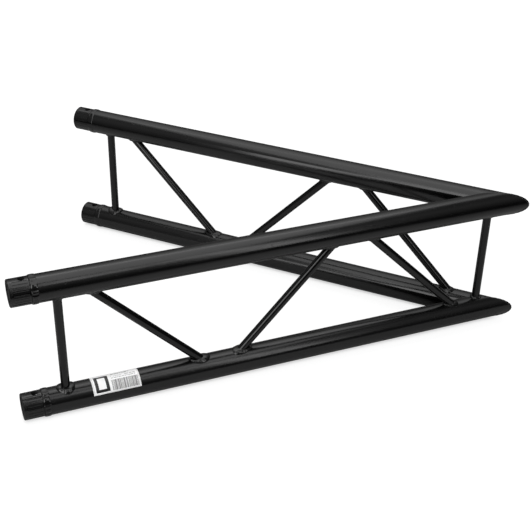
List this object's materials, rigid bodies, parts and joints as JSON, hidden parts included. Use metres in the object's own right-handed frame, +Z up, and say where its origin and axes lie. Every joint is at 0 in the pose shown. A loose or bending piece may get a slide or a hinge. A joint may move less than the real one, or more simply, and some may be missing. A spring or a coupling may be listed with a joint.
{
  "type": "ladder truss corner",
  "caption": "Upright ladder-truss corner: two welded tube ladders meet at an acute angle, with a pinned conical socket at the open end of each main tube.",
  "frame": {"origin": "middle of the outline in plan, at the height of the lowest weld beads, on which the part stands", "axes": "+Z up, the main tubes one above the other; +X towards the corner, in the plane of symmetry; the front ladder leads to -X -Y, the rear one to -X +Y"},
  "size_m": [0.9428, 0.7636, 0.2924],
  "materials": {
    "tube_coat": "satin",
    "brace_coat": "satin",
    "receiver_coat": "satin",
    "weld_coat": "satin",
    "label_vinyl": "satin"
  },
  "bodies": {
    "root": {"bottom_corner_weld": "weld_coat", "corner_post": "brace_coat", "corner_post_bottom_weld": "weld_coat", "corner_post_top_weld": "weld_coat", "data_label": "label_vinyl", "front_bottom_chord": "tube_coat", "front_bottom_receiver": "receiver_coat", "front_bottom_receiver_weld": "weld_coat", "front_end_post": "brace_coat", "front_end_post_bottom_weld": "weld_coat", "front_end_post_top_weld": "weld_coat", "front_inner_diagonal": "brace_coat", "front_inner_diagonal_bottom_weld": "weld_coat", "front_inner_diagonal_top_weld": "weld_coat", "front_middle_diagonal": "brace_coat", "front_middle_diagonal_bottom_weld": "weld_coat", "front_middle_diagonal_top_weld": "weld_coat", "front_outer_diagonal": "brace_coat", "front_outer_diagonal_bottom_weld": "weld_coat", "front_outer_diagonal_top_weld": "weld_coat", "front_top_chord": "tube_coat", "front_top_receiver": "receiver_coat", "front_top_receiver_weld": "weld_coat", "rear_bottom_chord": "tube_coat", "rear_bottom_receiver": "receiver_coat", "rear_bottom_receiver_weld": "weld_coat", "rear_end_post": "brace_coat", "rear_end_post_bottom_weld": "weld_coat", "rear_end_post_top_weld": "weld_coat", "rear_inner_diagonal": "brace_coat", "rear_inner_diagonal_bottom_weld": "weld_coat", "rear_inner_diagonal_top_weld": "weld_coat", "rear_middle_diagonal": "brace_coat", "rear_middle_diagonal_bottom_weld": "weld_coat", "rear_middle_diagonal_top_weld": "weld_coat", "rear_outer_diagonal": "brace_coat", "rear_outer_diagonal_bottom_weld": "weld_coat", "rear_outer_diagonal_top_weld": "weld_coat", "rear_top_chord": "tube_coat", "rear_top_receiver": "receiver_coat", "rear_top_receiver_weld": "weld_coat", "top_corner_weld": "weld_coat"}
  },
  "joints": []
}
